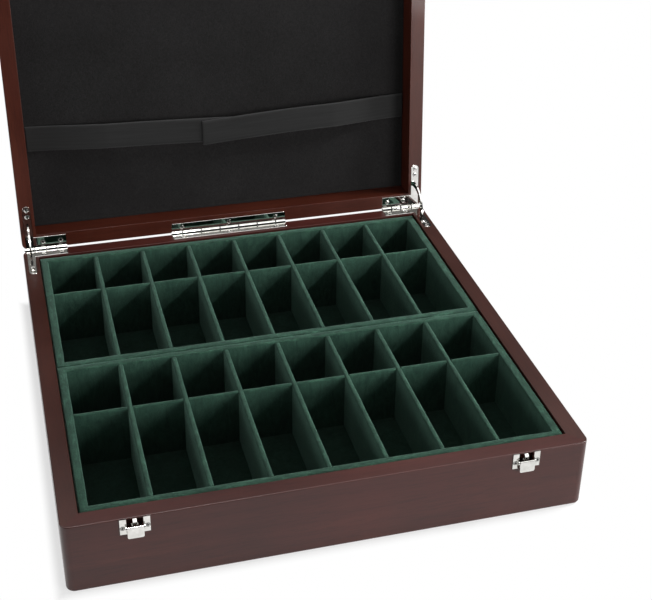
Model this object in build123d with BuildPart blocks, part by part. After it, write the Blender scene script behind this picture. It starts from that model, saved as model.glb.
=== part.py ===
"""A chess box with a hinged lid: mitred mahogany base and lid, two velvet piece trays,
a centre hinge, two corner hinges with sliding stays, two spring catches and lid straps.

Frame: X to the right, Y to the back, Z up, origin at the centre of the underside.
Pieces of the lid are drawn with the lid shut and turned to the open rest pose when written.
"""
import math
import os

from build123d import *

os.makedirs("parts", exist_ok=True)

# ------------------------------------------------------------------ driving dimensions, mm
box_width = 430.0             # outside, along X
box_depth = 430.0             # outside, along Y
base_height = 65.0
lid_height = 32.0
wall_thickness = 15.0
corner_radius = 7.0           # upright outer corners
foot_radius = 2.5             # outer edge along the underside
rim_radius = 0.8              # outer edges beside the closing line
inner_rim_radius = 0.4        # inner edges beside the closing line
top_radius = 3.0              # outer edge round the top of the lid
panel_thickness = 6.0         # base panel and lid panel
panel_rebate = 7.0            # how far the base panel is let into the walls
lining_thickness = 2.0        # felt-covered board in the lid
lining_play = 0.3
closing_gap = 0.5             # between the rims of the shut box
lid_open_angle = 95.3         # from shut to the rest pose

tray_wall = 7.5               # board with its velvet
tray_play = 1.0               # between a tray and the box walls
tray_split = 0.3              # between the two trays
tray_below_rim = 1.5
tray_floor = 4.0
tray_columns = 8
long_row = 118.5              # inner front face of a tray to the middle of its cross divider
divider_thickness = 4.5       # dividers that run from front to back
cross_divider_thickness = 3.5
divider_below_wall = 0.5
lap_play = 0.1                # in the half-lap slots where dividers cross

pin_behind = 0.8              # hinge pin axis behind the back face
pin_radius = 1.0
knuckle_bore = 1.05
barrel_radius = 2.4
barrel_play = 0.35            # round a knuckle, to the leaf of the other side
groove_radius = 2.9           # groove for the barrel in the back edges
knuckle_gap = 0.35            # half the gap between two knuckles
leaf_thickness = 1.5
leaf_edge = 0.45              # chamfer round the visible face of a leaf

centre_half = 61.3            # half length of the centre hinge
centre_end_knuckle = 11.0
centre_knuckles = 7
centre_leaf_reach = 11.2      # front edge of the leaf, from the pin
centre_screws = (-50.3, 0.0, 50.3)
centre_screw_reach = 7.0      # from the pin

corner_inner = 170.0          # inner end of the corner hinge's back leg
corner_outer = 213.0          # outer end of its barrel
corner_knuckle_ends = (170.0, 180.5, 191.0, 203.0, 213.0)
corner_leg_reach = 13.8       # front edge of the back leg, from the pin
side_leg_x = 207.2            # centre line of the side leg
side_leg_width = 8.8
side_leg_reach = 48.3         # rounded end of the side leg, from the pin
leaf_corner_radius = 1.5
corner_screw_x = (176.0, 194.0)
corner_screw_reach = 8.2      # from the pin
side_screw_reach = (37.0, 44.0)

stay_inner = 22.5             # inner and outer radius of the stay arm about the pin
stay_outer = 27.5
stay_thickness = 1.5
stay_play = 0.4               # all round the arm in its pocket
stay_hidden = 10.0            # degrees of the arm inside each rim when the lid is open
stay_end_play = 2.5           # degrees of empty pocket past the arm when the lid is shut

hinge_screw_head = 2.2        # radii
hinge_screw_shank = 1.2
hinge_screw_length = 10.0
latch_screw_head = 1.7
latch_screw_shank = 0.9
latch_screw_length = 8.0
screw_head_depth = 1.0
screw_crown = 0.2             # rise of the oval head above the metal
screw_seat_play = 0.35        # seat wider than the head, in radius
screw_tip_length = 2.0
screw_tip_radius = 0.15
recess_length_share = 1.3     # bars of the cross recess, by the head's radius
recess_width_share = 0.4
recess_depth = 0.8

latch_x = 159.3               # middle of each catch from the middle of the box
latch_half = 11.7             # half width of the catch plate
latch_sheet = 1.0             # sheet metal of the catch and keeper
latch_drop = (0.3, 14.7)      # top and bottom of the catch plate below the rim
latch_window_half = 6.6       # opening that the keeper's tongue drops into
latch_window_drop = 10.6      # its lower edge below the rim
latch_screw_x = 9.6
latch_screw_drop = 8.7
latch_pin_before = 2.4        # pivot of the lever in front of the wall
latch_pin_drop = 8.2          # and below the rim
latch_pin_radius = 0.5
lever_bore = 0.55
lever_half = 6.4              # half width of the lever
lever_gap_half = 1.7          # half width of the gap in its barrel for the spring
lever_drop = 17.0             # lower edge of the flap below the rim
lever_sheet = 0.9
lever_barrel = 1.9            # the flap's sheet is rolled round the pivot
lever_shoulder = 0.7          # radius of the flap's upper front edge
hook_root_half = 2.6          # half width of the hook's arm in the lever
hook_half = 1.5               # half width of the hook itself
hook_stem = (2.8, 3.8)        # front and back of its upright, behind the pivot
hook_narrows = 2.4            # above the pivot
hook_profile = ((0.0, -0.6), (3.3, -0.6), (3.8, -0.1), (3.8, 6.2), (3.0, 6.5), (0.9, 4.8),
                (0.9, 3.9), (2.8, 3.4), (2.8, 1.0), (0.0, 1.0))  # behind and above the pivot
lug_thickness = 1.0
lug_radius = 1.6
mortise_half = 6.2            # pocket in the front wall behind the hook
mortise_drop = (1.1, 11.0)
mortise_depth = 4.8
spring_wire = 0.18            # radius
spring_coil = 0.78            # radius of the coil's centre line
spring_turns = 5.375
spring_pitch = 0.42
spring_legs = (2.5, 2.3)      # the leg behind the hook and the leg on the plate

keeper_height = 10.0
keeper_above_rim = 0.5
keeper_screw_x = 8.0
keeper_screw_rise = 6.0       # above the lid's rim
tongue_half = 5.4
tongue_drop = 6.8             # lower edge of the tongue below the base's rim
tongue_before = (0.3, 1.0)    # its back and front before the wall
slot_half = 2.1               # hole in the tongue for the hook
slot_drop = (0.9, 5.6)
cut_overrun = 1.0             # by which a cutting tool passes the metal

strap_width = 26.0
strap_thickness = 1.3
strap_left_end = 111.5        # middle of the strap from the pin, at its left end,
strap_right_end = 110.0       # at its right end
strap_middle = 104.7          # and where the two halves meet
strap_foot = 0.4              # clear of the lining at its ends
strap_end_play = 0.9          # clear of the side walls
strap_lift = 9.3              # clear of the lining in the middle
strap_ramp = (14.0, 80.0)     # from a side wall to the two bends of its rise
strap_lap_left = -21.0        # free end of the right half
strap_lap_right = 12.0        # free end of the left half

# ------------------------------------------------------------------ worked-out values
back_face = box_depth / 2
front_face = -box_depth / 2
inner_half = box_width / 2 - wall_thickness
pin_y = back_face + pin_behind
pin_z = base_height + closing_gap / 2
lid_rim = base_height + closing_gap
lid_wall_height = lid_height - panel_thickness
lid_wall_top = lid_rim + lid_wall_height
lining_bottom = lid_wall_top - lining_thickness
leaf_back = pin_y - barrel_radius
plate_front = front_face - latch_sheet
latch_top, latch_bottom = (base_height - drop for drop in latch_drop)
latch_window_bottom = base_height - latch_window_drop
latch_screw_z = base_height - latch_screw_drop
latch_pin_y = front_face - latch_pin_before
latch_pin_z = base_height - latch_pin_drop
lever_front = latch_pin_y - lever_barrel
lever_bottom = base_height - lever_drop
mortise_top, mortise_bottom = (base_height - drop for drop in mortise_drop)
keeper_screw_z = lid_rim + keeper_screw_rise
tongue_bottom = base_height - tongue_drop
tongue_back, tongue_front = (front_face - gap for gap in tongue_before)
slot_top, slot_bottom = (base_height - drop for drop in slot_drop)
side_leg_end = pin_y - side_leg_reach + side_leg_width / 2
tray_half = inner_half - tray_play
tray_inner_half = tray_half - tray_wall
tray_top = base_height - tray_below_rim
tray_depth = tray_half - tray_split / 2
column_pitch = 2 * tray_inner_half / tray_columns
divider_top = tray_top - divider_below_wall
divider_bottom = panel_thickness + tray_floor
lap_height = (divider_top + divider_bottom) / 2
stay_half_sweep = lid_open_angle / 2 + stay_hidden
pocket_sweep = stay_half_sweep + stay_end_play

lid_open = Pos(0, pin_y, pin_z) * Rot(X=-lid_open_angle) * Pos(0, -pin_y, -pin_z)
wall_turns = {"front": 0, "right": 90, "back": 180, "left": 270}
sides = {"left": -1, "right": 1}
top_down = (Align.CENTER, Align.CENTER, Align.MAX)


def write_piece(piece, label, on_lid=False):
    """Label a finished piece and write it; pieces of the lid are turned to the rest pose."""
    if on_lid:
        piece = piece.moved(lid_open)
    piece.label = label
    export_step(piece, f"parts/{label}.step")


def block(low, high, mode=Mode.ADD):
    """A box from its lowest to its highest corner, inside the part being built."""
    centre = [(a + b) / 2 for a, b in zip(low, high)]
    with Locations(tuple(centre)):
        Box(high[0] - low[0], high[1] - low[1], high[2] - low[2], mode=mode)


def rod_along_x(y, z, radius, start, end, mode=Mode.ADD):
    """A round rod parallel to X, inside the part being built."""
    with BuildSketch(Plane.YZ.offset(start)) as disc:
        with Locations((y, z)):
            Circle(radius)
    extrude(disc.sketch, amount=end - start, mode=mode)


# ------------------------------------------------------------------ screws and their seats
def rim_seats(places, rim, up):
    """Planes on a rim whose Z points out of the wood: up on the base, down on the lid."""
    return [Plane(origin=(x, y, rim), x_dir=(1, 0, 0), z_dir=(0, 0, up)) for x, y in places]


def face_seats(places, face):
    """Planes on the front of the box, seen from the front."""
    return [Plane(origin=(x, face, z), x_dir=(1, 0, 0), z_dir=(0, -1, 0)) for x, z in places]


def screw_group(seats, head, shank, length):
    """Countersunk cross-head screws, one in each seat."""
    bar = (recess_length_share * head, recess_width_share * head)
    crown_sphere = (head**2 + screw_crown**2) / (2 * screw_crown)
    with BuildPart() as screw:
        with Locations((0, 0, screw_crown - crown_sphere)):
            Sphere(crown_sphere)
        with Locations((0, 0, screw_crown)):
            Cylinder(head, screw_crown, align=top_down, mode=Mode.INTERSECT)
        Cone(shank, head, screw_head_depth, align=top_down)
        Cylinder(shank, length - screw_tip_length, align=top_down)
        with Locations((0, 0, screw_tip_length - length)):
            Cone(screw_tip_radius, shank, screw_tip_length, align=top_down)
        with Locations((0, 0, screw_crown)):
            for across, along in (bar, bar[::-1]):
                Box(across, along, recess_depth + screw_crown, align=top_down, mode=Mode.SUBTRACT)
    with BuildPart() as screws:
        with Locations(*seats):
            add(screw.part)
    return screws.part


def cut_screw_holes(seats, head, shank, depth):
    """Countersunk clearance holes through sheet metal."""
    with Locations(*seats):
        Cylinder(shank, depth, align=top_down, mode=Mode.SUBTRACT)
        Cone(shank, head + screw_seat_play, screw_head_depth, align=top_down, mode=Mode.SUBTRACT)


def cut_pilot_holes(seats, shank, length):
    """Holes in the wood that the screws have cut for themselves."""
    with Locations(*seats):
        Cylinder(shank, length, align=top_down, mode=Mode.SUBTRACT)


centre_places = [(x, pin_y - centre_screw_reach) for x in centre_screws]


def corner_places(side):
    """Screws of one corner hinge plate: two in the back leg, two in the side leg."""
    back_leg = [(side * x, pin_y - corner_screw_reach) for x in corner_screw_x]
    side_leg = [(side * side_leg_x, pin_y - reach) for reach in side_screw_reach]
    return back_leg + side_leg


def latch_places(side):
    """Screws of one catch plate."""
    return [(side * latch_x + x, latch_screw_z) for x in (-latch_screw_x, latch_screw_x)]


def keeper_places(side):
    """Screws of one keeper."""
    return [(side * latch_x + x, keeper_screw_z) for x in (-keeper_screw_x, keeper_screw_x)]


# ------------------------------------------------------------------ outlines shared by metal and wood
def centre_leaf_outline(rim):
    """Plan of a centre hinge leaf on a rim, up to the pin."""
    with BuildSketch(Plane.XY.offset(rim)) as outline:
        with Locations((0, pin_y - centre_leaf_reach / 2)):
            leaf = Rectangle(2 * centre_half, centre_leaf_reach)
        fillet(leaf.vertices().group_by(Axis.Y)[0], leaf_corner_radius)
    return outline.sketch


def corner_leaf_outline(rim, side):
    """Plan of a corner hinge plate on a rim: a leg along the back and a round-ended side leg."""
    outer = side_leg_x + side_leg_width / 2
    with BuildSketch(Plane.XY.offset(rim)) as outline:
        with Locations((side * (corner_inner + outer) / 2, pin_y - corner_leg_reach / 2)):
            Rectangle(outer - corner_inner, corner_leg_reach)
        with Locations((side * side_leg_x, (side_leg_end + leaf_back) / 2)):
            Rectangle(side_leg_width, leaf_back - side_leg_end)
        with Locations((side * side_leg_x, side_leg_end)):
            Circle(side_leg_width / 2)
    return outline.sketch


def ring_sector(x, inner, outer, start, sweep):
    """Face of a ring sector about the hinge pin, on a plane that looks along X."""
    with BuildSketch(Plane.YZ.offset(x)) as sector:
        with BuildLine():
            long_arc = CenterArc((pin_y, pin_z), outer, start, sweep)
            short_arc = CenterArc((pin_y, pin_z), inner, start, sweep)
            Line(long_arc @ 0, short_arc @ 0)
            Line(long_arc @ 1, short_arc @ 1)
        make_face()
    return sector.sketch


# ------------------------------------------------------------------ wooden frames
def cut_hinge_seats(rim, up):
    """Cut leaf mortises, barrel grooves, stay pockets and pilot holes into one rim."""
    extrude(centre_leaf_outline(rim), amount=-up * leaf_thickness, mode=Mode.SUBTRACT)
    end = centre_half + knuckle_gap
    rod_along_x(pin_y, pin_z, groove_radius, -end, end, mode=Mode.SUBTRACT)
    for side in sides.values():
        extrude(corner_leaf_outline(rim, side), amount=-up * leaf_thickness, mode=Mode.SUBTRACT)
        ends = sorted((side * (corner_inner - knuckle_gap), side * box_width / 2))
        rod_along_x(pin_y, pin_z, groove_radius, *ends, mode=Mode.SUBTRACT)
        half = stay_thickness / 2 + stay_play
        pocket = ring_sector(side * side_leg_x - half, stay_inner - stay_play, stay_outer + stay_play,
                             180, up * pocket_sweep)
        extrude(pocket, amount=2 * half, mode=Mode.SUBTRACT)
        cut_pilot_holes(rim_seats(corner_places(side), rim, up), hinge_screw_shank, hinge_screw_length)
    cut_pilot_holes(rim_seats(centre_places, rim, up), hinge_screw_shank, hinge_screw_length)


def inner_rim_edges(level):
    """The four inner edges of a frame among the edges at one level."""
    reach = (-inner_half, inner_half)
    return level.filter_by_position(Axis.X, *reach).filter_by_position(Axis.Y, *reach)


def mitred_wall(frame, turn):
    """One wall of a square frame: the quarter of the plan that the turn points at."""
    reach = box_width
    with BuildPart() as piece:
        add(frame)
        with BuildSketch(Plane.XY.rotated((0, 0, turn))):
            Polygon((0, 0), (-reach, -reach), (reach, -reach), align=None)
        extrude(amount=2 * (base_height + lid_height), mode=Mode.INTERSECT)
    return piece.part


with BuildPart() as base_frame:
    with BuildSketch():
        RectangleRounded(box_width, box_depth, corner_radius)
    extrude(amount=base_height)
    fillet(base_frame.edges().group_by(Axis.Z)[0], foot_radius)
    fillet(base_frame.edges().group_by(Axis.Z)[-1], rim_radius)
    block((-inner_half, -inner_half, 0), (inner_half, inner_half, base_height), Mode.SUBTRACT)
    fillet(inner_rim_edges(base_frame.edges().group_by(Axis.Z)[-1]), inner_rim_radius)
    panel_half = inner_half + panel_rebate
    block((-panel_half, -panel_half, 0), (panel_half, panel_half, panel_thickness), Mode.SUBTRACT)
    cut_hinge_seats(base_height, 1)
    for side in sides.values():
        pocket_x = side * latch_x
        block((pocket_x - mortise_half, front_face, mortise_bottom),
              (pocket_x + mortise_half, front_face + mortise_depth, mortise_top), Mode.SUBTRACT)
        cut_pilot_holes(face_seats(latch_places(side), plate_front), latch_screw_shank,
                        latch_screw_length)

with BuildPart() as lid_frame:
    with BuildSketch(Plane.XY.offset(lid_rim)):
        RectangleRounded(box_width, box_depth, corner_radius)
    extrude(amount=lid_wall_height)
    fillet(lid_frame.edges().group_by(Axis.Z)[0], rim_radius)
    block((-inner_half, -inner_half, lid_rim), (inner_half, inner_half, lid_wall_top), Mode.SUBTRACT)
    fillet(inner_rim_edges(lid_frame.edges().group_by(Axis.Z)[0]), inner_rim_radius)
    cut_hinge_seats(lid_rim, -1)
    for side in sides.values():
        cut_pilot_holes(face_seats(keeper_places(side), plate_front), latch_screw_shank,
                        latch_screw_length)

for wall_name, turn in wall_turns.items():
    write_piece(mitred_wall(base_frame.part, turn), f"base_{wall_name}_wall")
    write_piece(mitred_wall(lid_frame.part, turn), f"lid_{wall_name}_wall", on_lid=True)

with BuildPart() as base_panel:
    block((-panel_half, -panel_half, 0), (panel_half, panel_half, panel_thickness))
write_piece(base_panel.part, "base_bottom_panel")

with BuildPart() as lid_panel:
    with BuildSketch(Plane.XY.offset(lid_wall_top)):
        RectangleRounded(box_width, box_depth, corner_radius)
    extrude(amount=panel_thickness)
    fillet(lid_panel.edges().group_by(Axis.Z)[-1], top_radius)
write_piece(lid_panel.part, "lid_top_panel", on_lid=True)

with BuildPart() as lid_lining:
    lining_half = inner_half - lining_play
    block((-lining_half, -lining_half, lining_bottom), (lining_half, lining_half, lid_wall_top))
write_piece(lid_lining.part, "lid_lining", on_lid=True)

# ------------------------------------------------------------------ trays
tray_fronts = {"rear": tray_split / 2, "front": -tray_half}

for tray_name, front in tray_fronts.items():
    back = front + tray_depth
    inner_front = front + tray_wall
    inner_back = back - tray_wall
    cross_y = inner_front + long_row

    tray_walls = {
        "front_wall": ((-tray_half, front), (tray_half, inner_front)),
        "back_wall": ((-tray_half, inner_back), (tray_half, back)),
        "left_wall": ((-tray_half, inner_front), (-tray_inner_half, inner_back)),
        "right_wall": ((tray_inner_half, inner_front), (tray_half, inner_back)),
    }
    for wall_name, (low, high) in tray_walls.items():
        with BuildPart() as tray_board:
            block((*low, panel_thickness), (*high, tray_top))
        write_piece(tray_board.part, f"{tray_name}_tray_{wall_name}")

    with BuildPart() as floor_board:
        block((-tray_inner_half, inner_front, panel_thickness),
              (tray_inner_half, inner_back, divider_bottom))
    write_piece(floor_board.part, f"{tray_name}_tray_floor")

    divider_places = [(column - tray_columns / 2) * column_pitch for column in range(1, tray_columns)]
    half = divider_thickness / 2
    cross_half = cross_divider_thickness / 2
    with BuildPart() as dividers:
        for x in divider_places:
            block((x - half, inner_front, divider_bottom), (x + half, inner_back, divider_top))
        block((-tray_inner_half, cross_y - cross_half - lap_play, divider_bottom),
              (tray_inner_half, cross_y + cross_half + lap_play, lap_height), Mode.SUBTRACT)
    write_piece(dividers.part, f"{tray_name}_tray_dividers")

    with BuildPart() as cross_divider:
        block((-tray_inner_half, cross_y - cross_half, divider_bottom),
              (tray_inner_half, cross_y + cross_half, divider_top))
        for x in divider_places:
            block((x - half - lap_play, cross_y - cross_half, lap_height),
                  (x + half + lap_play, cross_y + cross_half, divider_top), Mode.SUBTRACT)
    write_piece(cross_divider.part, f"{tray_name}_tray_cross_divider")


# ------------------------------------------------------------------ hinges
def knuckle_spans(ends, first):
    """Every second stretch between the given ends, from the first or the second one on."""
    spans = list(zip(ends[:-1], ends[1:]))
    return spans[first::2]


def visible_face(leaf, up):
    """The face of a leaf that shows when the box is open."""
    return leaf.faces().sort_by(Axis.Z)[-1 if up > 0 else 0]


def finish_barrel(own, other):
    """Cut a leaf free of the other leaf's knuckles, then give it its own, bored for the pin."""
    for start, end in other:
        rod_along_x(pin_y, pin_z, barrel_radius + barrel_play, start - knuckle_gap, end + knuckle_gap,
                    mode=Mode.SUBTRACT)
    for start, end in own:
        rod_along_x(pin_y, pin_z, barrel_radius, start + knuckle_gap, end - knuckle_gap)
    span = own + other
    first = min(start for start, end in span)
    last = max(end for start, end in span)
    rod_along_x(pin_y, pin_z, knuckle_bore, first - cut_overrun, last + cut_overrun, mode=Mode.SUBTRACT)


inner_knuckle = 2 * (centre_half - centre_end_knuckle) / (centre_knuckles - 2)
centre_ends = [-centre_half]
centre_ends += [centre_end_knuckle - centre_half + k * inner_knuckle for k in range(centre_knuckles - 1)]
centre_ends += [centre_half]

# rim height, direction out of the wood, which knuckles it owns, whether it rides on the lid
leaves = {"base": (base_height, 1, 0, False), "lid": (lid_rim, -1, 1, True)}

for leaf_name, (rim, up, first, on_lid) in leaves.items():
    with BuildPart() as centre_leaf:
        extrude(centre_leaf_outline(rim), amount=-up * leaf_thickness)
        chamfer(visible_face(centre_leaf, up).edges(), leaf_edge)
        finish_barrel(knuckle_spans(centre_ends, first), knuckle_spans(centre_ends, 1 - first))
        seats = rim_seats(centre_places, rim, up)
        cut_screw_holes(seats, hinge_screw_head, hinge_screw_shank, leaf_thickness)
    write_piece(centre_leaf.part, f"centre_hinge_{leaf_name}_leaf", on_lid)
    write_piece(screw_group(seats, hinge_screw_head, hinge_screw_shank, hinge_screw_length),
                f"centre_hinge_{leaf_name}_screws", on_lid)

    for side_name, side in sides.items():
        ends = sorted(side * end for end in corner_knuckle_ends)
        turned = first if side > 0 else 1 - first
        with BuildPart() as corner_leaf:
            extrude(corner_leaf_outline(rim, side), amount=-up * leaf_thickness)
            chamfer(visible_face(corner_leaf, up).edges(), leaf_edge)
            finish_barrel(knuckle_spans(ends, turned), knuckle_spans(ends, 1 - turned))
            stay_slot = stay_thickness + 2 * stay_play
            block((side * side_leg_x - stay_slot / 2, pin_y - stay_outer - stay_play, rim - leaf_thickness),
                  (side * side_leg_x + stay_slot / 2, pin_y - stay_inner + stay_play, rim + leaf_thickness),
                  Mode.SUBTRACT)
            seats = rim_seats(corner_places(side), rim, up)
            cut_screw_holes(seats, hinge_screw_head, hinge_screw_shank, leaf_thickness)
        write_piece(corner_leaf.part, f"corner_hinge_{side_name}_{leaf_name}_plate", on_lid)
        write_piece(screw_group(seats, hinge_screw_head, hinge_screw_shank, hinge_screw_length),
                    f"corner_hinge_{side_name}_{leaf_name}_screws", on_lid)

with BuildPart() as centre_pin:
    rod_along_x(pin_y, pin_z, pin_radius, -centre_half, centre_half)
write_piece(centre_pin.part, "centre_hinge_pin")

for side_name, side in sides.items():
    with BuildPart() as corner_pin:
        rod_along_x(pin_y, pin_z, pin_radius, *sorted((side * corner_inner, side * corner_outer)))
    write_piece(corner_pin.part, f"corner_hinge_{side_name}_pin")

    with BuildPart() as stay_arm:
        arm_face = ring_sector(side * side_leg_x - stay_thickness / 2, stay_inner, stay_outer,
                               180 + stay_hidden, -2 * stay_half_sweep)
        extrude(arm_face, amount=stay_thickness)
    write_piece(stay_arm.part, f"stay_arm_{side_name}")

# ------------------------------------------------------------------ catches and keepers
for side_name, side in sides.items():
    middle = side * latch_x
    seats = face_seats(latch_places(side), plate_front)

    with BuildPart() as catch_plate:
        block((middle - latch_half, plate_front, latch_bottom),
              (middle + latch_half, front_face, latch_top))
        block((middle - latch_window_half, plate_front, latch_window_bottom),
              (middle + latch_window_half, front_face, latch_top), Mode.SUBTRACT)
        for lug in (-1, 1):
            lug_middle = middle + lug * (latch_window_half + lug_thickness / 2)
            with BuildSketch(Plane.YZ.offset(lug_middle - lug_thickness / 2)):
                with Locations((latch_pin_y, latch_pin_z)):
                    Circle(lug_radius)
                with Locations(((latch_pin_y + front_face) / 2, latch_pin_z)):
                    Rectangle(front_face - latch_pin_y, 2 * lug_radius)
            extrude(amount=lug_thickness)
        rod_along_x(latch_pin_y, latch_pin_z, latch_pin_radius, middle - latch_half, middle + latch_half,
                    mode=Mode.SUBTRACT)
        cut_screw_holes(seats, latch_screw_head, latch_screw_shank, latch_sheet)
    write_piece(catch_plate.part, f"latch_{side_name}_plate")
    write_piece(screw_group(seats, latch_screw_head, latch_screw_shank, latch_screw_length),
                f"latch_{side_name}_screws")

    pin_half = latch_window_half + lug_thickness
    with BuildPart() as catch_pin:
        rod_along_x(latch_pin_y, latch_pin_z, latch_pin_radius, middle - pin_half, middle + pin_half)
    write_piece(catch_pin.part, f"latch_{side_name}_pin")

    flap_back = lever_front + lever_sheet
    with BuildPart() as lever:
        block((middle - lever_half, lever_front, lever_bottom),
              (middle + lever_half, flap_back, latch_pin_z))
        fillet(lever.edges().filter_by(Axis.Y).group_by(Axis.Z)[0], leaf_corner_radius)
        block((middle - lever_half, lever_front, latch_pin_z),
              (middle + lever_half, latch_pin_y, latch_pin_z + lever_barrel))
        shoulder = lever.edges().filter_by(Axis.X).group_by(Axis.Z)[-1].sort_by(Axis.Y)[0]
        fillet(shoulder, lever_shoulder)
        rod_along_x(latch_pin_y, latch_pin_z, lever_barrel, middle - lever_half, middle + lever_half)
        with BuildSketch(Plane.YZ.offset(middle - hook_root_half)):
            with BuildLine():
                corners = [(latch_pin_y + back, latch_pin_z + rise) for back, rise in hook_profile]
                Polyline(corners, close=True)
            make_face()
        extrude(amount=2 * hook_root_half)
        for low, high in ((-hook_root_half, -hook_half), (hook_half, hook_root_half)):
            block((middle + low, latch_pin_y, latch_pin_z + hook_narrows),
                  (middle + high, latch_pin_y + hook_stem[1], base_height), Mode.SUBTRACT)
        block((middle - lever_gap_half, flap_back, latch_pin_z - lever_barrel),
              (middle + lever_gap_half, latch_pin_y + hook_stem[0], latch_pin_z + lever_barrel),
              Mode.SUBTRACT)
        rod_along_x(latch_pin_y, latch_pin_z, lever_bore, middle - latch_half, middle + latch_half,
                    mode=Mode.SUBTRACT)
    write_piece(lever.part, f"latch_{side_name}_lever")

    coil_length = spring_turns * spring_pitch
    with BuildPart() as spring:
        with BuildLine() as wire:
            coil = Helix(spring_pitch, coil_length, spring_coil,
                         center=(middle - coil_length / 2, latch_pin_y, latch_pin_z), direction=(1, 0, 0))
        with BuildSketch(Plane(origin=coil @ 0, z_dir=coil % 0)):
            Circle(spring_wire)
        sweep(path=wire.line, is_frenet=True)
        for end, way in ((0, -1), (1, 1)):
            with BuildSketch(Plane(origin=coil @ end, z_dir=(coil % end) * way)):
                Circle(spring_wire)
            extrude(amount=spring_legs[end])
    write_piece(spring.part, f"latch_{side_name}_spring")

    keeper_seats = face_seats(keeper_places(side), plate_front)
    keeper_bottom = lid_rim + keeper_above_rim
    with BuildPart() as keeper:
        block((middle - latch_half, plate_front, keeper_bottom),
              (middle + latch_half, front_face, keeper_bottom + keeper_height))
        fillet(keeper.edges().filter_by(Axis.Y).group_by(Axis.Z)[-1], leaf_corner_radius)
        block((middle - tongue_half, tongue_front, tongue_bottom),
              (middle + tongue_half, tongue_back, keeper_bottom + latch_sheet))
        block((middle - slot_half, tongue_front, slot_bottom),
              (middle + slot_half, tongue_back, slot_top), Mode.SUBTRACT)
        cut_screw_holes(keeper_seats, latch_screw_head, latch_screw_shank, latch_sheet)
    write_piece(keeper.part, f"keeper_{side_name}", on_lid=True)
    write_piece(screw_group(keeper_seats, latch_screw_head, latch_screw_shank, latch_screw_length),
                f"keeper_{side_name}_screws", on_lid=True)


# ------------------------------------------------------------------ straps across the lid
def strap_half(side, free_end, layer, wall_end_reach):
    """One half of the strap: rises off the lining from its side wall and runs past the middle."""
    wall_x = side * (inner_half - strap_end_play)
    foot = lining_bottom - strap_foot
    crest = lining_bottom - strap_lift - layer * (strap_thickness + strap_foot)
    near, far = (wall_x - side * run for run in strap_ramp)
    wall_y = pin_y - wall_end_reach
    tilt = math.degrees(math.atan2(wall_end_reach - strap_middle, inner_half + side * strap_lap_left))
    with BuildPart() as strap:
        with BuildSketch(Plane.XZ.offset(strap_width / 2)):
            with BuildLine():
                Polyline((wall_x, foot), (near, foot - strap_foot), (far, crest), (free_end, crest),
                         (free_end, crest - strap_thickness), (far, crest - strap_thickness),
                         (near, foot - strap_foot - strap_thickness), (wall_x, foot - strap_thickness),
                         close=True)
            make_face()
        extrude(amount=-strap_width)
    about_wall_end = Pos(wall_x, wall_y, 0) * Rot(Z=-side * tilt) * Pos(-wall_x, 0, 0)
    return strap.part.moved(about_wall_end)


write_piece(strap_half(-1, strap_lap_right, 0, strap_left_end), "strap_left", on_lid=True)
write_piece(strap_half(1, strap_lap_left, 1, strap_right_end), "strap_right", on_lid=True)
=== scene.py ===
"""Finishes for the chess box: lacquered mahogany, velvet-wrapped trays, a felt lining, woven
straps and nickel fittings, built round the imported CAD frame, with a plain studio and a camera."""
import math
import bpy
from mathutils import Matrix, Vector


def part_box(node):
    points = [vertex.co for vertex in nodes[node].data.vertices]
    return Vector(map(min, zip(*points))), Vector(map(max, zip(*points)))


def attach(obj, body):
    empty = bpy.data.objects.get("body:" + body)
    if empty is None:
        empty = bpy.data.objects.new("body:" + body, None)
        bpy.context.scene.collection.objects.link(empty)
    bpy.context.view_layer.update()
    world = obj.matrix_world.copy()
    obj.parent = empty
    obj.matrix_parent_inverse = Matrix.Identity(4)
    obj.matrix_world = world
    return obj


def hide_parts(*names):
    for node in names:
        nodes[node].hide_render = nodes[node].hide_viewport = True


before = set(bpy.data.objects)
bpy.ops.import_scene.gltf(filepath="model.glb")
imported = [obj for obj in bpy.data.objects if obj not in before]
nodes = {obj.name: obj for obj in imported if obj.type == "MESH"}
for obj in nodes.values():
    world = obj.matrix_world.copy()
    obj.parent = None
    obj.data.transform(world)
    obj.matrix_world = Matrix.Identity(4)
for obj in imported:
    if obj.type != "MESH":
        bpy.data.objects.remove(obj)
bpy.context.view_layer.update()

from fnmatch import fnmatchcase

import bmesh
import bpy
from mathutils import Matrix, Vector, noise

scene = bpy.context.scene
mm = 0.001

# ------------------------------------------------------------------ camera
PICTURE_WIDTH = 652                     # pixels
FOCAL_LENGTH = 1291.1                   # pixels
AXIS_ABOVE_MIDDLE = 50.0                # pixels, from the middle of the picture up to the lens axis
SENSOR = 36.0
CAMERA_PLACE = (-0.2227, -0.9724, 0.7224)
CAMERA_YAW = math.radians(15.515)       # from +Y towards +X
CAMERA_PITCH = math.radians(-29.551)
CAMERA_ROLL = math.radians(0.862)


def make_camera():
    """A still camera, a little above the box and to the left of its middle."""
    data = bpy.data.cameras.new("camera")
    camera = bpy.data.objects.new("camera", data)
    scene.collection.objects.link(camera)
    data.sensor_width = SENSOR
    data.lens = FOCAL_LENGTH / PICTURE_WIDTH * SENSOR
    data.shift_y = -AXIS_ABOVE_MIDDLE / PICTURE_WIDTH
    yaw = Matrix.Rotation(-CAMERA_YAW, 4, "Z")
    pitch = Matrix.Rotation(math.pi / 2 + CAMERA_PITCH, 4, "X")
    roll = Matrix.Rotation(CAMERA_ROLL, 4, "Z")
    camera.matrix_world = Matrix.Translation(CAMERA_PLACE) @ yaw @ pitch @ roll
    scene.camera = camera


make_camera()

# ------------------------------------------------------------------ sizes, metres
NEAR = 0.1 * mm                         # within which a point counts as lying on a face
ALIGNED = 0.999                         # a direction's part above which it counts as along an axis

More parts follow.
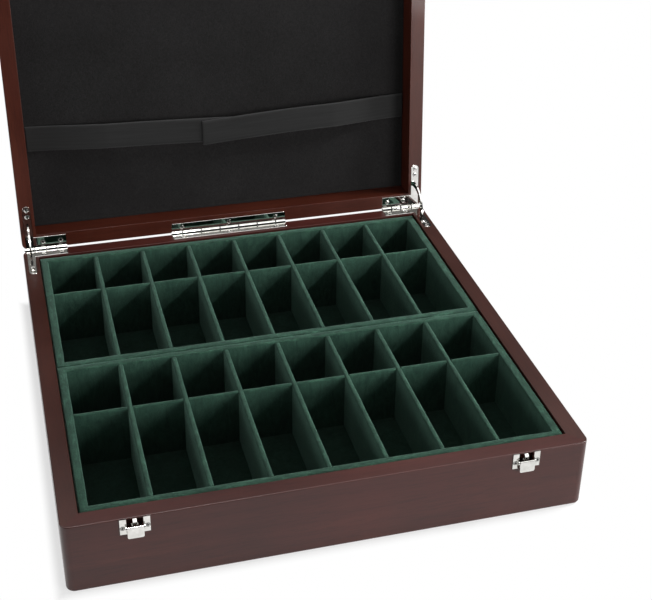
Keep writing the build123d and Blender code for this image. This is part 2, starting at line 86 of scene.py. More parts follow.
# trays
TRAY_BOARD = 7.5 * mm                   # velvet-wrapped wall of a tray
DIVIDER = 4.5 * mm
COLUMNS = 8
WALL_EDGE = 1.3 * mm                    # radius of a wrapped board's top edges
DIVIDER_EDGE = 1.7 * mm
CROSS_EDGE = 1.35 * mm
BOARD_STEP = 6.0 * mm                   # length of one strip of a board's mesh
PILE_WAVE = 0.22 * mm                   # unevenness of wrapped velvet
WALL_FINENESS = 55.0                    # waves of that in a metre
FLOOR_FINENESS = 45.0
DIVIDER_FINENESS = 60.0
RUBBED_FROM = 61.4 * mm                 # heights between which its pile starts to be rubbed
RUBBED_TO = 62.8 * mm

# lid and its hinge axis
BACK_FACE = 215.0 * mm
INNER_WALL = 200.0 * mm
PIN_Y = BACK_FACE + 0.8 * mm
PIN_Z = 65.25 * mm
LID_ANGLE = math.radians(95.3)          # how far the lid is turned back from shut
LINING_HALF = 199.7 * mm
LINING_FACE = 89.5 * mm                 # inner face of the lining in the shut lid
LINING_THICKNESS = 2.0 * mm
LINING_WAVE = 0.25 * mm
LINING_FINENESS = 22.0

# strap; a reach is measured along the lid from the hinge axis
STRAP_WIDTH = 26.0 * mm
STRAP_THICKNESS = 1.3 * mm
STRAP_CORNER = 0.35 * mm                # bevel of the tape's edges
STRAP_WALL = 199.1 * mm                 # ends of the strap at the side walls
STRAP_CROSSING = 21.0 * mm              # to the right of the middle, where the halves cross
STRAP_MIDDLE = 104.7 * mm               # their reach there
STRAP_BOW = (1.0 * mm, 2.5 * mm)        # upward bow of the left and the right half
STRAP_FOOT = 0.4 * mm                   # stand-off from the lining at the wall
STRAP_LIFT = 9.3 * mm                   # stand-off where the strap hangs free
STRAP_RAMP = (4.2 * mm, 80.0 * mm)      # where it leaves the foot and where it hangs free
STRAP_STRAIGHT = 0.45                   # share of that rise that is straight, the rest is eased
STRAP_SLACK = 0.35 * mm                 # slow waves in the tape, full from SLACK_FROM on
SLACK_FROM = 30.0 * mm
SLACK_FINENESS = (18.0, 20.0)           # along the tape and across it
PAINTED_EDGE_HIGHLIGHT = (1.6 * mm, 0.6 * mm)       # from its side, where the painted highlight along the tape's edge starts and is full

# fittings
BASE_RIM = 65.0 * mm
LID_RIM = 65.5 * mm
CATCH_FACE = 216.0 * mm                 # front face of the catch plates and keepers, forwards
RECESS_SHADE = 0.25 * mm                # depth at which the painted shade in a screw's recess is full
BARREL = 2.6 * mm                       # radius within which a hinge is all barrel
JOINTS = [x * mm for x in (10.06, 30.18, 50.3, 180.5, 191.0, 203.0)]   # between knuckles, +X and -X
JOINT_SHADE = (0.45 * mm, 1.0 * mm)     # reach of the painted shade to each side of a joint, where the gaps between knuckles fall dark

lid_open = (Matrix.Translation((0.0, PIN_Y, PIN_Z)) @ Matrix.Rotation(-LID_ANGLE, 4, "X")
            @ Matrix.Translation((0.0, -PIN_Y, -PIN_Z)))


# ------------------------------------------------------------------ modelling helpers
def deselect_all():
    if bpy.context.mode != "OBJECT":
        bpy.ops.object.mode_set(mode="OBJECT")
    bpy.ops.object.select_all(action="DESELECT")


def select_only(piece):
    deselect_all()
    piece.select_set(True)
    bpy.context.view_layer.objects.active = piece


def place_in_mesh(piece):
    """Put a piece's place, turn and size into its mesh."""
    select_only(piece)
    bpy.ops.object.transform_apply(location=True, rotation=True, scale=True)


def add_block(name, low, high):
    """A box from its lowest to its highest corner."""
    deselect_all()
    centre = [(a + b) / 2 for a, b in zip(low, high)]
    size = [b - a for a, b in zip(low, high)]
    bpy.ops.mesh.primitive_cube_add(size=1.0, location=centre, scale=size)
    piece = bpy.context.active_object
    piece.name = piece.data.name = name
    place_in_mesh(piece)
    return piece


def edit_selecting(piece, kind, wanted):
    """Go into edit mode with only the wanted edges or faces of a piece selected."""
    select_only(piece)
    bpy.ops.object.mode_set(mode="EDIT")
    bpy.ops.mesh.select_mode(type=kind)
    bpy.ops.mesh.select_all(action="DESELECT")
    mesh = bmesh.from_edit_mesh(piece.data)
    for part in mesh.edges if kind == "EDGE" else mesh.faces:
        part.select_set(wanted(part))
    bmesh.update_edit_mesh(piece.data)


def turn_faces_out():
    """In edit mode, let all faces look outwards, and leave edit mode."""
    bpy.ops.mesh.select_all(action="SELECT")
    bpy.ops.mesh.normals_make_consistent(inside=False)
    bpy.ops.object.mode_set(mode="OBJECT")


def direction(edge):
    return (edge.verts[1].co - edge.verts[0].co).normalized()


def at_top(edge, top):
    return min(vertex.co.z for vertex in edge.verts) > top - NEAR


def round_edges(piece, wanted, radius):
    edit_selecting(piece, "EDGE", wanted)
    bpy.ops.mesh.bevel(offset=radius, offset_type="OFFSET", segments=3, affect="EDGES")
    bpy.ops.object.mode_set(mode="OBJECT")


def cut_across(piece, axis, length):
    """Divide a piece into strips of about BOARD_STEP along one axis."""
    edit_selecting(piece, "EDGE", lambda edge: abs(direction(edge)[axis]) > ALIGNED)
    bpy.ops.mesh.subdivide(number_cuts=max(1, round(length / BOARD_STEP)))
    bpy.ops.object.mode_set(mode="OBJECT")


def ripple(piece, amount, fineness, where=lambda place: True):
    """Move a piece's points, where wanted, a little along their normals in large and small waves,
    as cloth over a board lies."""
    mesh = piece.data
    moves = []
    for vertex in mesh.vertices:
        height = noise.noise(vertex.co * fineness)
        height += 0.5 * noise.noise(vertex.co * fineness * 2.7)
        moves.append(vertex.normal * (amount * height * where(vertex.co)))
    for vertex, move in zip(mesh.vertices, moves):
        vertex.co += move
    mesh.update()


def smooth(piece):
    select_only(piece)
    bpy.ops.object.shade_smooth_by_angle(angle=math.radians(40.0))


def apply_modifier(piece, kind, **settings):
    select_only(piece)
    modifier = piece.modifiers.new(kind.lower(), kind)
    for key, value in settings.items():
        setattr(modifier, key, value)
    bpy.ops.object.modifier_apply(modifier=modifier.name)


def copy_of(piece, move):
    """A copy of a piece with its own mesh, moved."""
    select_only(piece)
    bpy.ops.object.duplicate(linked=False)
    twin = bpy.context.active_object
    bpy.ops.transform.translate(value=move)
    place_in_mesh(twin)
    return twin


def join_pieces(name, pieces):
    deselect_all()
    for piece in pieces:
        piece.select_set(True)
    bpy.context.view_layer.objects.active = pieces[0]
    bpy.ops.object.join()
    pieces[0].name = pieces[0].data.name = name
    return pieces[0]


def finish_piece(piece, body, material, replaced):
    """Give a piece its material, its body and the nodes that it stands for."""
    piece.data.materials.clear()
    piece.data.materials.append(material)
    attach(piece, body)
    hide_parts(*replaced)


# ------------------------------------------------------------------ node helpers
def new_material(name, inputs):
    """A material with its tree and its Principled shader, some of whose inputs are set."""
    material = bpy.data.materials.new(name)
    material.use_nodes = True
    tree = material.node_tree
    shader = tree.nodes["Principled BSDF"]
    for key, value in inputs.items():
        shader.inputs[key].default_value = value
    return material, tree, shader


def add_node(tree, kind, **settings):
    """A node of the given kind with some of its inputs, by name, or its properties set."""
    node = tree.nodes.new(kind)
    for key, value in settings.items():
        if key in node.inputs:
            node.inputs[key].default_value = value
        else:
            setattr(node, key, value)
    return node


def feed(tree, value, socket):
    """Give an input a number, or a link from another node's output."""
    if isinstance(value, float):
        socket.default_value = value
    else:
        tree.links.new(value, socket)


def arithmetic(tree, operation, first, second=0.0):
    node = add_node(tree, "ShaderNodeMath", operation=operation)
    feed(tree, first, node.inputs[0])
    feed(tree, second, node.inputs[1])
    return node.outputs[0]


def spread(tree, source, start, stop, low=0.0, high=1.0, interpolation="LINEAR"):
    """A number from low to high as the source goes from start to stop."""
    node = add_node(tree, "ShaderNodeMapRange", interpolation_type=interpolation)
    for key, value in zip(("From Min", "From Max", "To Min", "To Max"), (start, stop, low, high)):
        node.inputs[key].default_value = value
    tree.links.new(source, node.inputs["Value"])
    return node.outputs["Result"]


def smooth_step(tree, source, start, stop, low=0.0, high=1.0):
    return spread(tree, source, start, stop, low, high, "SMOOTHSTEP")


def blend(tree, share, first, second):
    """A number between the first and the second, by a share from 0 to 1."""
    node = add_node(tree, "ShaderNodeMix", data_type="FLOAT")
    for slot, value in zip((0, 2, 3), (share, first, second)):
        feed(tree, value, node.inputs[slot])
    return node.outputs[0]


def multiply(tree, first, second, share=1.0):
    """The first colour multiplied by the second, by a share from 0 to 1."""
    node = add_node(tree, "ShaderNodeMix", data_type="RGBA", blend_type="MULTIPLY")
    for slot, value in zip((0, 6, 7), (share, first, second)):
        feed(tree, value, node.inputs[slot])
    return node.outputs[2]


def grey(value):
    return (value, value, value)


def ramp(tree, source, *stops):
    """A colour ramp from a value; stops are (place, colour)."""
    node = tree.nodes.new("ShaderNodeValToRGB")
    elements = node.color_ramp.elements
    while len(elements) < len(stops):
        elements.new(0.5)
    for element, (place, colour) in zip(elements, stops):
        element.position = place
        element.color = (*colour, 1.0)
    tree.links.new(source, node.inputs["Fac"])
    return node.outputs["Color"]


def coordinates(tree, kind="Object"):
    return tree.nodes.new("ShaderNodeTexCoord").outputs[kind]


def parts_of(tree, vector):
    """The X, Y and Z outputs of a vector."""
    node = tree.nodes.new("ShaderNodeSeparateXYZ")
    tree.links.new(vector, node.inputs["Vector"])
    return node.outputs


def pattern_space(tree, stretch=(1.0, 1.0, 1.0), tilt=0.0, shift=0.0):
    """Object coordinates, turned back about X by the lid's tilt, then stretched and shifted."""
    turned = add_node(tree, "ShaderNodeMapping", Rotation=(tilt, 0.0, 0.0))
    stretched = add_node(tree, "ShaderNodeMapping", Scale=stretch, Location=(shift, shift, shift))
    tree.links.new(coordinates(tree), turned.inputs["Vector"])
    tree.links.new(turned.outputs["Vector"], stretched.inputs["Vector"])
    return stretched.outputs["Vector"]


def noise_value(tree, vector, scale, detail=4.0, roughness=0.55, distortion=0.0):
    node = add_node(tree, "ShaderNodeTexNoise", Scale=scale, Detail=detail, Roughness=roughness,
                    Distortion=distortion)
    tree.links.new(vector, node.inputs["Vector"])
    return node.outputs["Fac"]


def bump(tree, shader, height, strength, distance):
    node = add_node(tree, "ShaderNodeBump", Strength=strength, Distance=distance)
    tree.links.new(height, node.inputs["Height"])
    tree.links.new(node.outputs["Normal"], shader.inputs["Normal"])


# ------------------------------------------------------------------ finishes
def mahogany(name, grain, depth, shine, tilt=0.0, shift=0.0, plum=1.0):
    """Dark stained mahogany under satin lacquer, its grain along X or Y of the shut box; depth
    scales the stain, darker below 1, and is partly the board's own tone and partly painted light
    and shade; shine is the lacquer's strength, and plum is how far the stain leans to plum."""
    material, tree, shader = new_material(name, {
        "Specular IOR Level": shine, "Coat Weight": 0.16, "Coat Roughness": 0.10})
    stretch = (1.0, 15.0, 15.0) if grain == "X" else (15.0, 1.0, 15.0)
    along = pattern_space(tree, stretch, tilt, shift)
    even = pattern_space(tree, tilt=tilt, shift=shift)
    figure = noise_value(tree, along, 7.0, detail=5.0, distortion=0.6)
    pores = noise_value(tree, along, 60.0, detail=3.0, roughness=0.7)
    cloud = noise_value(tree, even, 9.0, detail=2.0)
    stain = ramp(tree, figure, (0.28, (0.043, 0.0080, 0.0038 * plum)),
                 (0.52, (0.052, 0.0102, 0.0048 * plum)), (0.74, (0.062, 0.0133, 0.0062 * plum)))
    dark_pores = ramp(tree, pores, (0.36, (0.5, 0.45, 0.42)), (0.5, grey(1.0)))
    stain = multiply(tree, stain, dark_pores, 0.5)
    clouds = ramp(tree, cloud, (0.3, grey(0.82 * depth)), (0.7, grey(1.14 * depth)))
    tree.links.new(multiply(tree, stain, clouds), shader.inputs["Base Color"])
    tree.links.new(spread(tree, cloud, 0.3, 0.7, 0.30, 0.42), shader.inputs["Roughness"])
    bump(tree, shader, pores, strength=0.10, distance=0.0004)
    return material


def velvet(name, brushed_along, low, high):
    """Bottle-green velvet: dark seen straight on, lighter along its edges, streaked by brushing,
    and rubbed paler in flecks along the tops of the boards."""
    material, tree, shader = new_material(name, {
        "Roughness": 1.0, "Specular IOR Level": 0.12, "Sheen Weight": 0.50,
        "Sheen Roughness": 0.38, "Sheen Tint": (0.58, 0.92, 0.78, 1.0)})
    stretch = (0.35, 1.6, 1.0) if brushed_along == "X" else (1.6, 0.35, 1.0)
    even = pattern_space(tree)
    upright = pattern_space(tree, (1.5, 1.5, 0.5))
    streaks = noise_value(tree, upright, 95.0, detail=5.0, roughness=0.7, distortion=1.6)
    clouds = noise_value(tree, even, 30.0, detail=3.0, distortion=1.2)
    pile = noise_value(tree, even, 1300.0, detail=2.0, roughness=0.6)
    flecks = noise_value(tree, pattern_space(tree, stretch), 240.0, detail=4.0, roughness=0.75,
                         distortion=0.8)
    green = ramp(tree, clouds, (0.30, low), (0.70, high))
    green = multiply(tree, green, ramp(tree, streaks, (0.32, grey(0.74)), (0.68, grey(1.30))))
    green = multiply(tree, green, ramp(tree, pile, (0.35, grey(0.75)), (0.65, grey(1.2))))
    on_top = spread(tree, parts_of(tree, even)["Z"], RUBBED_FROM, RUBBED_TO)
    rubbed = ramp(tree, flecks, (0.36, grey(0.55)), (0.52, (0.80, 0.88, 0.82)),
                  (0.66, (1.45, 1.5, 1.42)))
    tree.links.new(multiply(tree, green, rubbed, on_top), shader.inputs["Base Color"])
    bump(tree, shader, pile, strength=0.45, distance=0.0006)
    return material


def felt(name):
    """Black pressed felt with fine pale fibres."""
    material, tree, shader = new_material(name, {
        "Roughness": 0.97, "Specular IOR Level": 0.1, "Sheen Weight": 0.06, "Sheen Roughness": 0.5})
    even = pattern_space(tree)
    fibres = noise_value(tree, even, 420.0, detail=5.0, roughness=0.75, distortion=1.2)
    worn = noise_value(tree, even, 14.0, detail=3.0)
    black = ramp(tree, worn, (0.3, (0.0110, 0.0104, 0.0104)), (0.7, (0.0152, 0.0146, 0.0146)))
    black = multiply(tree, black, ramp(tree, fibres, (0.4, grey(0.72)), (0.72, grey(1.45))))
    tree.links.new(black, shader.inputs["Base Color"])
    bump(tree, shader, fibres, strength=0.6, distance=0.0005)
    return material


def webbing(name):
    """Black woven tape, from its own map of its length and width: fine ribs across it, faint
    streaks along it, and a painted highlight that makes its edges paler."""
    material, tree, shader = new_material(name, {
        "Roughness": 0.8, "Specular IOR Level": 0.3, "Sheen Weight": 0.08, "Sheen Roughness": 0.4})
    tape = add_node(tree, "ShaderNodeUVMap", uv_map="tape").outputs["UV"]
    ribs = add_node(tree, "ShaderNodeTexWave", Scale=420.0, Distortion=0.2, bands_direction="X")
    tree.links.new(tape, ribs.inputs["Vector"])
    drawn_out = add_node(tree, "ShaderNodeMapping", Scale=(14.0, 420.0, 1.0))
    tree.links.new(tape, drawn_out.inputs["Vector"])
    streaks = noise_value(tree, drawn_out.outputs["Vector"], 1.0, detail=3.0)
    off_middle = arithmetic(tree, "ABSOLUTE", parts_of(tree, tape)["Y"])
    edge_start, edge_full = (STRAP_WIDTH / 2 - inset for inset in PAINTED_EDGE_HIGHLIGHT)
    edge = spread(tree, off_middle, edge_start, edge_full)
    ribs = ribs.outputs["Fac"]
    black = ramp(tree, streaks, (0.3, grey(0.0094)), (0.7, grey(0.0150)))
    black = multiply(tree, black, ramp(tree, ribs, (0.0, grey(0.80)), (1.0, grey(1.10))))
    # painted highlight: the tape is made paler along its edges
    black = multiply(tree, black, ramp(tree, edge, (0.0, grey(1.0)), (1.0, grey(1.9))))
    tree.links.new(black, shader.inputs["Base Color"])
    bump(tree, shader, ribs, strength=0.25, distance=0.0002)
    return material


def board_stain(name):
    """Thin stained board of the underside, matt, with open grain."""
    material, tree, shader = new_material(name, {"Roughness": 0.6})
    along = pattern_space(tree, (1.0, 22.0, 22.0))
    grain = noise_value(tree, along, 6.0, detail=5.0, distortion=0.5)
    tree.links.new(ramp(tree, grain, (0.3, (0.030, 0.010, 0.007)), (0.7, (0.075, 0.028, 0.018))),
                   shader.inputs["Base Color"])
    bump(tree, shader, grain, strength=0.25, distance=0.0004)
    return material


# colours of metal where it is hazed most and least
PLATING = ((0.67, 0.66, 0.63), (0.81, 0.80, 0.77))
SCREW_PLATING = ((0.72, 0.71, 0.68), (0.86, 0.85, 0.82))
BARE_STEEL = ((0.10, 0.098, 0.095), (0.17, 0.165, 0.16))


def nickel(name, colours, roughness, shade=None):
    """Bright metal with faint haze and polishing marks, dark where the painted shade is 0."""
    material, tree, shader = new_material(name, {"Metallic": 1.0})
    haze = noise_value(tree, pattern_space(tree), 150.0, detail=3.0)
    marks = noise_value(tree, pattern_space(tree, (1.0, 5.0, 5.0)), 180.0, detail=2.0)
    colour = ramp(tree, haze, (0.3, colours[0]), (0.7, colours[1]))
    if shade:
        dark = ramp(tree, shade(tree), (0.0, grey(0.08)), (1.0, grey(1.0)))
        colour = multiply(tree, colour, dark)
    tree.links.new(colour, shader.inputs["Base Color"])
    tree.links.new(spread(tree, haze, 0.3, 0.7, *roughness), shader.inputs["Roughness"])
    bump(tree, shader, marks, strength=0.04, distance=0.00008)
    return material


def joint_shade(tree):
    """Painted shade: 0 on a hinge's barrel at the joints between its knuckles, 1 on the rest of the
    hinge.
    """
    place = parts_of(tree, coordinates(tree))
    aside = arithmetic(tree, "ABSOLUTE", place["X"])
    gap = 1.0
    for joint in JOINTS:
        from_joint = arithmetic(tree, "ABSOLUTE", arithmetic(tree, "SUBTRACT", aside, joint))
        gap = arithmetic(tree, "MINIMUM", from_joint, gap)
    off_joint = smooth_step(tree, gap, *JOINT_SHADE)
    along_y = arithmetic(tree, "SUBTRACT", place["Y"], PIN_Y)
    along_z = arithmetic(tree, "SUBTRACT", place["Z"], PIN_Z)
    square = arithmetic(tree, "ADD", arithmetic(tree, "MULTIPLY", along_y, along_y),
                        arithmetic(tree, "MULTIPLY", along_z, along_z))
    off_barrel = arithmetic(tree, "GREATER_THAN", square, BARREL ** 2)
    return arithmetic(tree, "MAXIMUM", off_joint, off_barrel)


def recess_shade(tree, face, outward):
    """Painted shade: 0 in the cross recesses of screws, below the face that their heads lie in, 1
    above it.
    """
    level = add_node(tree, "ShaderNodeVectorMath", operation="DOT_PRODUCT")
    level.inputs[1].default_value = outward
    tree.links.new(coordinates(tree), level.inputs[0])
    head = outward.dot(face)
    return smooth_step(tree, level.outputs["Value"], head - RECESS_SHADE, head)


def screw_nickel(name, height, outward, on_lid, tone=1.0):
    """Hazier nickel for a group of screws, whose heads lie at a height along their outward way;
    their cross recesses hold painted shade.
    """
    way = Vector(outward)
    face = way * height
    if on_lid:
        face, way = lid_open @ face, lid_open.to_3x3() @ way
    colours = [[part * tone for part in colour] for colour in SCREW_PLATING]
    return nickel(name, colours, (0.20, 0.30), lambda tree: recess_shade(tree, face, way))


# the depths are partly the boards' own tones and partly painted light and shade: the lid's boards are
# painted lighter and the base's boards, its side boards most, painted darker
wood_x = mahogany("mahogany_grain_x", "X", depth=0.88, shine=0.36, plum=1.5)
wood_y = mahogany("mahogany_grain_y", "Y", depth=0.64, shine=0.40, shift=0.31)
lid_wood_x = mahogany("lid_mahogany_grain_x", "X", depth=1.0, shine=0.26, tilt=LID_ANGLE,
                      shift=0.12)
lid_wood_y = mahogany("lid_mahogany_grain_y", "Y", depth=1.05, shine=0.26, tilt=LID_ANGLE,
                      shift=0.47)
underside_board = board_stain("underside_board")
velvet_x = velvet("green_velvet_across", "X", low=(0.0215, 0.0530, 0.0380),
                  high=(0.0330, 0.0760, 0.0550))
velvet_y = velvet("green_velvet_along", "Y", low=(0.0220, 0.0540, 0.0390),
                  high=(0.0335, 0.0770, 0.0560))
black_felt = felt("black_felt")
black_webbing = webbing("black_webbing")
bright_nickel = nickel("bright_nickel", PLATING, roughness=(0.03, 0.08))
# its barrels carry painted shade at the joints between their knuckles
hinge_nickel = nickel("hinge_nickel", PLATING, roughness=(0.03, 0.08), shade=joint_shade)
pin_steel = nickel("pin_steel", BARE_STEEL, roughness=(0.22, 0.32))
base_screws = screw_nickel("base_screw_nickel", BASE_RIM, (0.0, 0.0, 1.0), on_lid=False)
lid_screws = screw_nickel("lid_screw_nickel", -LID_RIM, (0.0, 0.0, -1.0), on_lid=True)
catch_screws = screw_nickel("catch_screw_nickel", CATCH_FACE, (0.0, -1.0, 0.0), on_lid=False,
                            tone=0.5)
keeper_screws = screw_nickel("keeper_screw_nickel", CATCH_FACE, (0.0, -1.0, 0.0), on_lid=True,
                             tone=0.5)

# the finish of each CAD node is that of the first pattern which its name fits
FINISHES = (
    ("base_front_wall", wood_x), ("base_back_wall", wood_x),
    ("base_left_wall", wood_y), ("base_right_wall", wood_y),
    ("base_bottom_panel", underside_board),
    ("lid_front_wall", lid_wood_x), ("lid_back_wall", lid_wood_x), ("lid_top_panel", lid_wood_x),
    ("lid_left_wall", lid_wood_y), ("lid_right_wall", lid_wood_y),
    ("keeper_*_screws", keeper_screws), ("latch_*_screws", catch_screws),
    ("*_lid_screws", lid_screws), ("*_base_screws", base_screws),
    ("*_pin", pin_steel), ("*_hinge_*", hinge_nickel),
    ("latch_*", bright_nickel), ("keeper_*", bright_nickel), ("stay_arm_*", bright_nickel),
)

for node_name in nodes:
    fitting = [finish for pattern, finish in FINISHES if fnmatchcase(node_name, pattern)]
    if fitting:
        slots = nodes[node_name].data.materials
        slots.clear()
        slots.append(fitting[0])


# ------------------------------------------------------------------ velvet trays
def dress_in_velvet(piece, fineness, material, replaced, where=lambda place: True):
    """Let the velvet of a tray's piece lie a little unevenly, and finish the piece."""
    ripple(piece, PILE_WAVE, fineness, where)
    smooth(piece)
    finish_piece(piece, "base", material, replaced)


def wrapped_board(name, low, high, radius, along):
    """A board wrapped in velvet, its long top edges rounded; along is 0 for X or 1 for Y."""
    board = add_block(name, low, high)
    round_edges(board, lambda edge: abs(direction(edge)[along]) > ALIGNED and at_top(edge, high[2]),
                radius)
    cut_across(board, along, high[along] - low[along])
    return board


def make_tray_walls(tray):
    """The four walls of a tray under one continuous wrapping of velvet, open at top and bottom."""
    wall_nodes = [f"{tray}_tray_{side}_wall" for side in ("front", "back", "left", "right")]
    low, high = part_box(wall_nodes[0])[0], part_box(wall_nodes[1])[1]
    walls = add_block(f"{tray}_velvet_walls", low, high)
    edit_selecting(walls, "FACE", lambda face: abs(face.normal.z) > ALIGNED)
    bpy.ops.mesh.inset(thickness=TRAY_BOARD, use_even_offset=True)
    bpy.ops.mesh.bridge_edge_loops()
    turn_faces_out()
    round_edges(walls, lambda edge: max(abs(part) for part in direction(edge)) > ALIGNED
                and at_top(edge, high[2]), WALL_EDGE)
    cut_across(walls, 0, high[0] - low[0])
    cut_across(walls, 1, high[1] - low[1])
    dress_in_velvet(walls, WALL_FINENESS, velvet_x, wall_nodes)
    walls.data.materials.append(velvet_y)
    for face in walls.data.polygons:
        from_side = min(face.center.x - low[0], high[0] - face.center.x)
        from_end = min(face.center.y - low[1], high[1] - face.center.y)
        face.material_index = 1 if from_side < from_end else 0


def make_tray_floor(tray):
    node_name = f"{tray}_tray_floor"
    low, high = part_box(node_name)
    floor = add_block(f"{tray}_velvet_floor", low, high)
    cut_across(floor, 0, high[0] - low[0])
    cut_across(floor, 1, high[1] - low[1])
    dress_in_velvet(floor, FLOOR_FINENESS, velvet_x, [node_name],
                    lambda place: place.z > high[2] - NEAR)


def make_tray_dividers(tray):
    """The dividers of a tray and, between them, the bars of its cross divider."""
    node_name = f"{tray}_tray_dividers"
    low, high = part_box(node_name)
    pitch = (high[0] - low[0] - DIVIDER) / (COLUMNS - 2)
    first = wrapped_board("divider", low, (low[0] + DIVIDER, high[1], high[2]), DIVIDER_EDGE, 1)
    bars = [first] + [copy_of(first, (k * pitch, 0.0, 0.0)) for k in range(1, COLUMNS - 1)]
    dividers = join_pieces(f"{tray}_velvet_dividers", bars)
    dress_in_velvet(dividers, DIVIDER_FINENESS, velvet_y, [node_name])

    lefts = [low[0] + k * pitch for k in range(COLUMNS - 1)]
    rights = [left + DIVIDER for left in lefts]
    node_name = f"{tray}_tray_cross_divider"
    low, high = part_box(node_name)
    bars = [wrapped_board("cross_bar", (start, *low[1:]), (stop, *high[1:]), CROSS_EDGE, 0)
            for start, stop in zip([low[0]] + rights, lefts + [high[0]])]
    cross = join_pieces(f"{tray}_velvet_cross_divider", bars)
    dress_in_velvet(cross, DIVIDER_FINENESS, velvet_x, [node_name])


for tray_name in ("rear", "front"):
    make_tray_walls(tray_name)
    make_tray_floor(tray_name)
    make_tray_dividers(tray_name)


# ------------------------------------------------------------------ lid lining and straps
def make_lining():
    """The felt-covered board in the lid, modelled shut and turned open."""
    low = (-LINING_HALF, -LINING_HALF, LINING_FACE)
    high = (LINING_HALF, LINING_HALF, LINING_FACE + LINING_THICKNESS)
    lining = add_block("lid_felt_lining", low, high)
    cut_across(lining, 0, 2 * LINING_HALF)
    cut_across(lining, 1, 2 * LINING_HALF)
    ripple(lining, LINING_WAVE, LINING_FINENESS, lambda place: place.z < LINING_FACE + NEAR)
    smooth(lining)
    lining.matrix_world = lid_open
    place_in_mesh(lining)
    finish_piece(lining, "lid", black_felt, ["lid_lining"])


def rise(run, layer):
    """How far the strap stands off the lining at a run from its side wall."""
    start, stop = STRAP_RAMP
    crest = STRAP_LIFT + layer * (STRAP_THICKNESS + STRAP_FOOT)
    share = min(max((run - start) / (stop - start), 0.0), 1.0)
    eased = share * share * (3.0 - 2.0 * share)
    share = STRAP_STRAIGHT * share + (1.0 - STRAP_STRAIGHT) * eased
    return STRAP_FOOT + (crest - STRAP_FOOT) * share


def make_strap(name, side, free_end, layer, wall_reach):
    """One half of the strap: woven tape from a side wall to its free end past the middle. Side is
    -1 for left, and layer is 1 for the half that lies over the other."""
    wall_x = side * STRAP_WALL
    length = abs(wall_x - free_end)
    slope = (wall_reach - STRAP_MIDDLE) / (INNER_WALL - STRAP_CROSSING * side)
    along_fineness, across_fineness = SLACK_FINENESS
    deselect_all()
    bpy.ops.mesh.primitive_grid_add(x_subdivisions=96, y_subdivisions=8, size=1.0,
                                    location=(0.5, 0.0, 0.0))
    strap = bpy.context.active_object
    strap.name = strap.data.name = name
    strap.data.uv_layers[0].name = "tape"
    place_in_mesh(strap)
    tape = strap.data.uv_layers["tape"].data
    for loop in strap.data.loops:
        place = strap.data.vertices[loop.vertex_index].co
        tape[loop.index].uv = (place.x * length, place.y * STRAP_WIDTH)
    for vertex in strap.data.vertices:
        run, across = vertex.co.x * length, vertex.co.y * STRAP_WIDTH
        bow = STRAP_BOW[layer] * math.sin(math.pi * run / length)
        reach = wall_reach - slope * run + bow + across
        spot = Vector((run * along_fineness, across * across_fineness, 3.0 + side))
        slack = STRAP_SLACK * noise.noise(spot)
        height = rise(run, layer) + STRAP_THICKNESS / 2 + slack * min(1.0, run / SLACK_FROM)
        vertex.co = (wall_x - side * run, PIN_Y - reach, LINING_FACE - height)
    apply_modifier(strap, "SOLIDIFY", thickness=STRAP_THICKNESS, offset=0.0)
    apply_modifier(strap, "BEVEL", width=STRAP_CORNER, segments=2, limit_method="ANGLE")
    select_only(strap)
    bpy.ops.object.mode_set(mode="EDIT")
    turn_faces_out()
    smooth(strap)
    strap.matrix_world = lid_open
    place_in_mesh(strap)
    node_name = "strap_left" if side < 0 else "strap_right"
    finish_piece(strap, "lid", black_webbing, [node_name])


make_lining()
make_strap("left_strap_tape", side=-1, free_end=12.0 * mm, layer=0, wall_reach=111.5 * mm)
make_strap("right_strap_tape", side=1, free_end=-21.0 * mm, layer=1, wall_reach=110.0 * mm)

# ------------------------------------------------------------------ studio
FLOOR_WIDTH = 12.0
FLOOR_FRONT = -0.42                     # the sheet of paper ends in front of the box
FLOOR_BACK = 8.0
FLOOR_TURN = math.radians(-28.0)        # nearer on the left than on the right

# the paper's glow near the box and away from it: |X| or |Y| where it starts to rise and is
# full, and its share at each
GLOW_ASIDE = (0.217, 0.227, 0.64, 1.0)
GLOW_AHEAD = (0.2135, 0.226, 0.64, 1.0)

# the room's light by a direction's Z, what mirrors see of it by that Z, and how that fades
# towards the dark front left by the direction's X + Y: start, stop and strength at each
LIGHT_BY_HEIGHT = (0.05, 0.65, 0.55, 0.10)
MIRROR_BY_HEIGHT = (0.57, 0.78, 0.04, 2.00)
MIRROR_BY_DEPTH = (-0.95, -0.50, 0.12, 1.0)


def ray_kinds(tree):
    """1 for rays from the camera, and 1 for those and for what metal reflects or glass lets
    through; 0 for the light that falls on things."""
    path = tree.nodes.new("ShaderNodeLightPath")
    seen = path.outputs["Is Camera Ray"]
    mirrored = arithmetic(tree, "MAXIMUM", seen, path.outputs["Is Glossy Ray"])
    return seen, arithmetic(tree, "MAXIMUM", mirrored, path.outputs["Is Transmission Ray"])


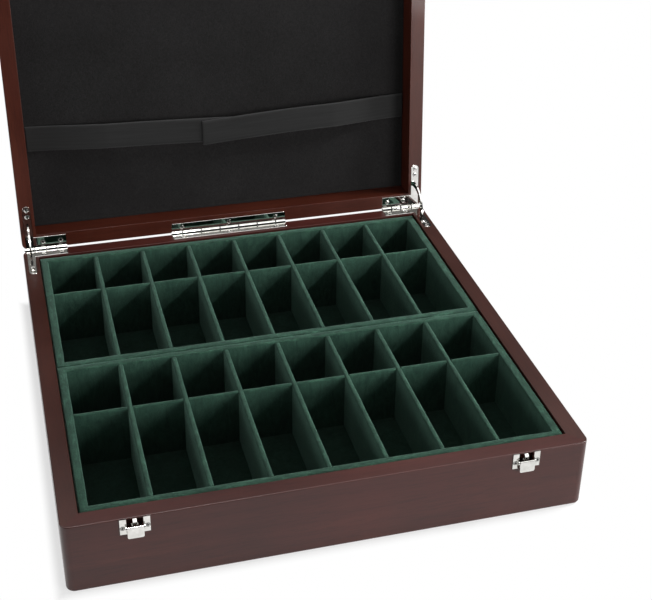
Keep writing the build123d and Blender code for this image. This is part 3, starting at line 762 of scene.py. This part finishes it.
def make_floor():
    """White paper that glows for the camera and for mirrors, and a little less under the box."""
    deselect_all()
    bpy.ops.mesh.primitive_plane_add(size=1.0, location=(0.0, (FLOOR_FRONT + FLOOR_BACK) / 2, 0.0))
    floor = bpy.context.active_object
    floor.name = "floor"
    floor.scale = (FLOOR_WIDTH, FLOOR_BACK - FLOOR_FRONT, 1.0)
    place_in_mesh(floor)
    floor.rotation_euler = (0.0, 0.0, FLOOR_TURN)
    place_in_mesh(floor)
    material, tree, shader = new_material("white_paper", {
        "Base Color": (0.90, 0.90, 0.90, 1.0), "Roughness": 0.9, "Specular IOR Level": 0.1})
    place = parts_of(tree, coordinates(tree))
    aside = smooth_step(tree, arithmetic(tree, "ABSOLUTE", place["X"]), *GLOW_ASIDE)
    ahead = smooth_step(tree, arithmetic(tree, "ABSOLUTE", place["Y"]), *GLOW_AHEAD)
    away = arithmetic(tree, "MAXIMUM", aside, ahead)
    share = arithmetic(tree, "MULTIPLY", ray_kinds(tree)[1], away)
    glow = add_node(tree, "ShaderNodeEmission", Strength=1.0)
    mix = tree.nodes.new("ShaderNodeMixShader")
    tree.links.new(share, mix.inputs[0])
    tree.links.new(shader.outputs["BSDF"], mix.inputs[1])
    tree.links.new(glow.outputs["Emission"], mix.inputs[2])
    tree.links.new(mix.outputs["Shader"], tree.nodes["Material Output"].inputs["Surface"])
    floor.data.materials.append(material)


def make_world():
    """White to the camera. To light it is a room with pale walls and a dim ceiling; reflections
    see a bright ceiling over a dark room, darkest towards the front left."""
    world = bpy.data.worlds.new("white_studio")
    scene.world = world
    world.use_nodes = True
    tree = world.node_tree
    background = tree.nodes["Background"]
    background.inputs["Color"].default_value = (1.0, 1.0, 1.0, 1.0)
    way = parts_of(tree, coordinates(tree, "Generated"))
    light = smooth_step(tree, way["Z"], *LIGHT_BY_HEIGHT)
    depth = arithmetic(tree, "ADD", way["X"], way["Y"])
    mirrored = arithmetic(tree, "MULTIPLY", smooth_step(tree, way["Z"], *MIRROR_BY_HEIGHT),
                          smooth_step(tree, depth, *MIRROR_BY_DEPTH))
    seen, seen_or_mirrored = ray_kinds(tree)
    strength = blend(tree, seen, blend(tree, seen_or_mirrored, light, mirrored), 1.0)
    tree.links.new(strength, background.inputs["Strength"])


def make_lamp(name, place, aim, width, height, power, matt=True, mirrors=True):
    """A flat lamp that faces a point; matt surfaces or mirrors may be kept from seeing it."""
    data = bpy.data.lights.new(name, "AREA")
    data.shape = "RECTANGLE"
    data.size = width
    data.size_y = height
    data.energy = power
    lamp = bpy.data.objects.new(name, data)
    scene.collection.objects.link(lamp)
    lamp.location = place
    lamp.rotation_euler = (Vector(aim) - Vector(place)).to_track_quat("-Z", "Y").to_euler()
    lamp.visible_diffuse = matt
    lamp.visible_glossy = mirrors


make_floor()
make_world()
# a long narrow lamp on the right draws the sharp shadows in the trays
make_lamp("key_lamp", (1.28, 0.02, 1.20), (0.0, 0.02, 0.08), width=0.56, height=0.08, power=33.0)
# two soft ones fill in from the front right and from the left
make_lamp("front_lamp", (1.00, -1.30, 0.45), (0.0, 0.0, 0.20), width=0.80, height=0.60, power=19.0,
          mirrors=False)
make_lamp("left_lamp", (-1.50, -0.35, 0.50), (0.0, 0.0, 0.20), width=0.80, height=0.50, power=6.0)
# two show only in lacquer and nickel: on the lid's rim, and on the hinges
make_lamp("rim_lamp", (0.95, -1.30, 0.13), (0.0, 0.2, 0.25), width=0.60, height=0.24, power=8.0,
          matt=False)
make_lamp("glint_lamp", (-0.05, -0.45, 1.60), (0.0, 0.0, 0.10), width=0.50, height=0.22, power=9.0,
          matt=False)

scene.view_settings.view_transform = "Standard"
